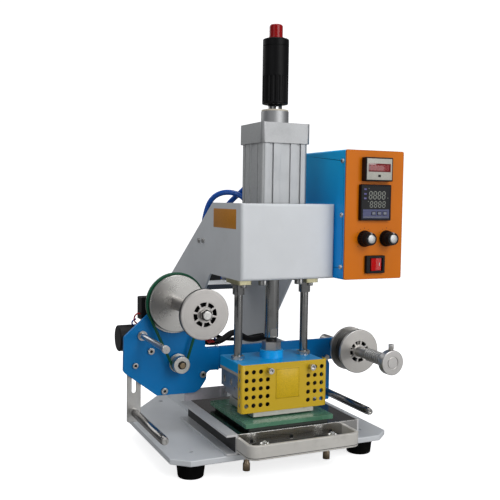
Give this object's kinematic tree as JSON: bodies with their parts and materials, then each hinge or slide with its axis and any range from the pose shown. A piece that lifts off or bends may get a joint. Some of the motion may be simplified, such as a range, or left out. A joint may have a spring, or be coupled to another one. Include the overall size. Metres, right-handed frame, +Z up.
{
  "type": "hot foil stamper",
  "caption": "Bench pneumatic hot foil press: air cylinder on a C frame drives a heated head over a sliding table, with foil unwind and rewind reels and a control box.",
  "frame": {"origin": "on the bench surface under the rubber feet, straight below the air cylinder's axis", "axes": "+Z up along the cylinder axis, -Y towards the operator (work table slides out that way), +X to the operator's right (control box side)"},
  "size_m": [0.3835, 0.39, 0.618],
  "materials": {
    "frame_paint": "semi-gloss",
    "base_paint": "semi-gloss",
    "blue_paint": "semi-gloss",
    "orange_panel": "satin",
    "yellow_paint": "satin",
    "rubber_black": "matt",
    "brass_plain": "turned",
    "zinc_yellow": "plated",
    "steel_plain": "brushed",
    "steel_dark": "oxide",
    "chrome_rod": "polished",
    "alu_satin": "anodised satin",
    "alu_turned": "turned",
    "knob_black": "black anodised",
    "plastic_black": "satin",
    "plastic_red": "gloss",
    "hose_blue": "gloss",
    "belt_green": "satin",
    "board_green": "laminate",
    "cable_black": "satin",
    "tray_grey": "satin",
    "board_mica": "laminate"
  },
  "bodies": {
    "frame": {"base_plate": "base_paint", "rubber_feet": "rubber_black", "level_screws": "brass_plain", "frame_shell": "frame_paint", "frame_back_plate": "frame_paint", "head_plate": "steel_plain", "guide_bushings": "zinc_yellow", "cylinder_bottom_cap": "alu_satin", "cylinder_barrel": "alu_satin", "cylinder_top_cap": "alu_satin", "solenoid_valve": "plastic_black", "air_hoses": "hose_blue", "spool_plate": "blue_paint", "cross_bar": "blue_paint", "steel_screws": "steel_dark", "gear_motor": "plastic_black", "guide_pin": "chrome_rod", "spool_bearing": "steel_plain", "drive_belt": "belt_green", "unwind_shaft": "steel_plain", "friction_spring": "steel_plain", "end_collar": "alu_turned", "foil_bar": "steel_plain", "cable_harness": "cable_black", "control_box": "blue_paint", "control_panel": "orange_panel", "counter_unit": "plastic_black", "temperature_controller": "plastic_black", "switch_bezel": "plastic_black", "potentiometers": "alu_satin", "table_rails": "steel_plain"},
    "ram": {"piston_rod": "chrome_rod", "ram_fasteners": "steel_dark", "platen_plate": "blue_paint", "guide_rods": "chrome_rod", "insulation_board": "board_mica", "heater_block": "alu_satin", "heater_cartridges": "steel_plain", "die_holder": "steel_plain", "die_plate": "alu_satin", "heat_guard": "yellow_paint", "red_end_cap": "plastic_red"},
    "stroke_knob_body": {"stroke_knob": "knob_black"},
    "take_up_spool": {"drive_disc": "alu_turned", "front_disc": "alu_turned", "take_up_shaft": "steel_plain"},
    "feed_drive": {"feed_pulley": "alu_turned"},
    "unwind_reel": {"unwind_spool": "alu_turned"},
    "left_bracket_body": {"left_bracket": "steel_plain"},
    "right_bracket_body": {"right_bracket": "blue_paint"},
    "left_roller_body": {"left_roller": "steel_dark"},
    "right_roller_body": {"right_roller": "steel_dark"},
    "temperature_knob_body": {"temperature_knob": "plastic_black"},
    "timer_knob_body": {"timer_knob": "plastic_black"},
    "power_rocker_body": {"power_rocker": "plastic_red"},
    "controller_keys_body": {"controller_keys": "plastic_black"},
    "work_table": {"slide_table": "steel_plain", "work_board": "board_green", "front_tray": "tray_grey", "tray_nuts": "steel_plain"}
  },
  "joints": [
    {"name": "ram_slide", "type": "slide", "parent": "frame", "child": "ram", "axis": [0, 0, 1], "range_m": [0, 0.075]},
    {"name": "stroke_knob_turn", "type": "hinge", "parent": "ram", "child": "stroke_knob_body", "pos_m": [0, 0, 0.55], "axis": [0, 0, 1], "continuous": true},
    {"name": "take_up_turn", "type": "hinge", "parent": "frame", "child": "take_up_spool", "pos_m": [-0.125, 0, 0.2225], "axis": [0, 1, 0], "continuous": true},
    {"name": "feed_turn", "type": "hinge", "parent": "frame", "child": "feed_drive", "pos_m": [-0.119, 0.06, 0.1335], "axis": [0, 1, 0], "continuous": true},
    {"name": "unwind_turn", "type": "hinge", "parent": "frame", "child": "unwind_reel", "pos_m": [0.15, 0.015, 0.1435], "axis": [0, 1, 0], "continuous": true},
    {"name": "left_bracket_height", "type": "slide", "parent": "frame", "child": "left_bracket_body", "axis": [0, 0, 1], "range_m": [-0.003, 0.036]},
    {"name": "right_bracket_height", "type": "slide", "parent": "frame", "child": "right_bracket_body", "axis": [0, 0, 1], "range_m": [0, 0.02]},
    {"name": "left_roller_turn", "type": "hinge", "parent": "left_bracket_body", "child": "left_roller_body", "pos_m": [-0.182, 0, 0.0645], "axis": [0, 1, 0], "continuous": true},
    {"name": "right_roller_turn", "type": "hinge", "parent": "right_bracket_body", "child": "right_roller_body", "pos_m": [0.138, 0.01, 0.0645], "axis": [0, 1, 0], "continuous": true},
    {"name": "temperature_knob_turn", "type": "hinge", "parent": "frame", "child": "temperature_knob_body", "pos_m": [0.104, -0.085, 0.3207], "axis": [0, 1, 0], "range_deg": [-135, 135]},
    {"name": "timer_knob_turn", "type": "hinge", "parent": "frame", "child": "timer_knob_body", "pos_m": [0.1403, -0.085, 0.3207], "axis": [0, 1, 0], "range_deg": [-135, 135]},
    {"name": "power_rocker_tilt", "type": "hinge", "parent": "frame", "child": "power_rocker_body", "pos_m": [0.1219, -0.077, 0.2845], "axis": [0, 0, 1], "range_deg": [-14, 0]},
    {"name": "controller_keys_press", "type": "slide", "parent": "frame", "child": "controller_keys_body", "axis": [0, 1, 0], "range_m": [0, 0.0006]},
    {"name": "table_slide", "type": "slide", "parent": "frame", "child": "work_table", "axis": [0, -1, 0], "range_m": [0, 0.08]}
  ],
  "couplings": [
    {"joint": "take_up_turn", "follows": "feed_turn", "ratio": 0.24648}
  ]
}
